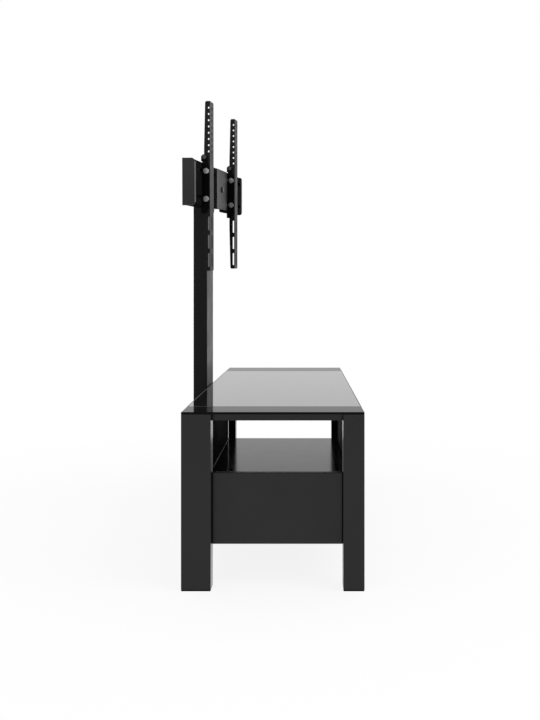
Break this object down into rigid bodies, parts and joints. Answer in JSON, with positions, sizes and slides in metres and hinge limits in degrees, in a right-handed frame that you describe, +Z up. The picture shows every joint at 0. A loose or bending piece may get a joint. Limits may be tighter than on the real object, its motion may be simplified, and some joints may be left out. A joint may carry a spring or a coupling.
{
  "type": "tv stand with mount",
  "caption": "Low tv stand with slab legs, glass-centred top, shelf, hinged doors and a rear post that carries a swivelling, levelling mount head with sliding, tilting arms.",
  "frame": {"origin": "on the floor under the middle of the bounding box", "axes": "+X to the right along the top's length, -Y to the doors, +Z up"},
  "size_m": [1.2, 0.444, 1.1792],
  "materials": {
    "lacquered_wood": "satin black lacquer",
    "black_board": "matt black board",
    "shelf_board": "satin dark grey lacquer",
    "end_plate": "satin black",
    "black_glass": "black, polished",
    "black_steel": "satin black powder coat",
    "grey_steel": "satin dark grey",
    "plated_steel": "zinc plated",
    "black_plastic": "matt black",
    "rubber": "matt",
    "clear_rubber": "clear"
  },
  "bodies": {
    "stand": {"apron_left": "lacquered_wood", "apron_right": "lacquered_wood", "back_panel": "black_board", "bottom_beam_front": "lacquered_wood", "bottom_beam_rear": "lacquered_wood", "bottom_beam_right": "lacquered_wood", "bottom_shelf": "shelf_board", "cable_grommets": "black_plastic", "door_catches": "black_plastic", "door_pivots_left": "black_steel", "door_pivots_right": "black_steel", "end_panel_left": "lacquered_wood", "foot_pads": "rubber", "glass_bumpers": "clear_rubber", "leg_front_left": "lacquered_wood", "leg_front_right": "lacquered_wood", "leg_rear_left": "lacquered_wood", "leg_rear_right": "lacquered_wood", "post": "black_steel", "post_bolts": "plated_steel", "post_cap_bottom": "black_plastic", "post_cap_top": "black_plastic", "swivel_bracket": "black_steel", "swivel_bracket_bolts": "black_steel", "swivel_clip": "plated_steel", "swivel_pin": "plated_steel", "top_beam_front": "lacquered_wood", "top_beam_rear": "lacquered_wood", "top_glass": "black_glass", "top_plate_left": "end_plate", "top_plate_right": "end_plate"},
    "door_left": {"door_left": "black_glass", "door_shoes_left": "black_steel", "door_strike_left": "plated_steel"},
    "door_right": {"door_right": "black_glass", "door_shoes_right": "black_steel", "door_strike_right": "plated_steel"},
    "swivel": {"swivel_washers": "black_plastic", "swivel_yoke": "black_steel"},
    "rail": {"centre_plate": "grey_steel", "level_bolt": "plated_steel", "mount_rail": "black_steel", "rail_cap_left": "black_plastic", "rail_cap_right": "black_plastic", "rail_cover_left": "black_plastic", "rail_cover_right": "black_plastic"},
    "carriage_left": {"hook_bracket_left": "black_steel", "safety_screw_left": "black_steel", "slide_bolt_left": "plated_steel"},
    "carriage_right": {"hook_bracket_right": "black_steel", "safety_screw_right": "black_steel", "slide_bolt_right": "plated_steel"},
    "arm_left": {"tilt_lock_bolt_left": "plated_steel", "tilt_pivot_bolt_left": "plated_steel", "vesa_arm_left": "black_steel"},
    "arm_right": {"tilt_lock_bolt_right": "plated_steel", "tilt_pivot_bolt_right": "plated_steel", "vesa_arm_right": "black_steel"}
  },
  "joints": [
    {"name": "swivel", "type": "hinge", "parent": "stand", "child": "swivel", "pos_m": [0, 0.16904, 0.9556], "axis": [0, 0, 1], "range_deg": [-7.25, 22.75]},
    {"name": "level", "type": "hinge", "parent": "swivel", "child": "rail", "pos_m": [-0.00255, 0.15031, 0.9556], "axis": [0.1348, 0.9908, 0.0131], "range_deg": [-0.7, 7.3]},
    {"name": "slide_left", "type": "slide", "parent": "rail", "child": "carriage_left", "axis": [0.9891, -0.1354, 0.0576], "range_m": [-0.05, 0.06]},
    {"name": "tilt_left", "type": "hinge", "parent": "carriage_left", "child": "arm_left", "pos_m": [-0.21495, 0.1682, 0.90361], "axis": [0.9891, -0.1354, 0.0576], "range_deg": [0, 3]},
    {"name": "slide_right", "type": "slide", "parent": "rail", "child": "carriage_right", "axis": [0.9891, -0.1354, 0.0576], "range_m": [-0.02, 0.12]},
    {"name": "tilt_right", "type": "hinge", "parent": "carriage_right", "child": "arm_right", "pos_m": [0.08179, 0.12759, 0.92088], "axis": [0.9891, -0.1354, 0.0576], "range_deg": [0, 3]},
    {"name": "door_left", "type": "hinge", "parent": "stand", "child": "door_left", "pos_m": [-0.547, -0.21596, 0.24], "axis": [0, 0, -1], "range_deg": [0, 100]},
    {"name": "door_right", "type": "hinge", "parent": "stand", "child": "door_right", "pos_m": [0.547, -0.21596, 0.24], "axis": [0, 0, 1], "range_deg": [0, 100]}
  ]
}
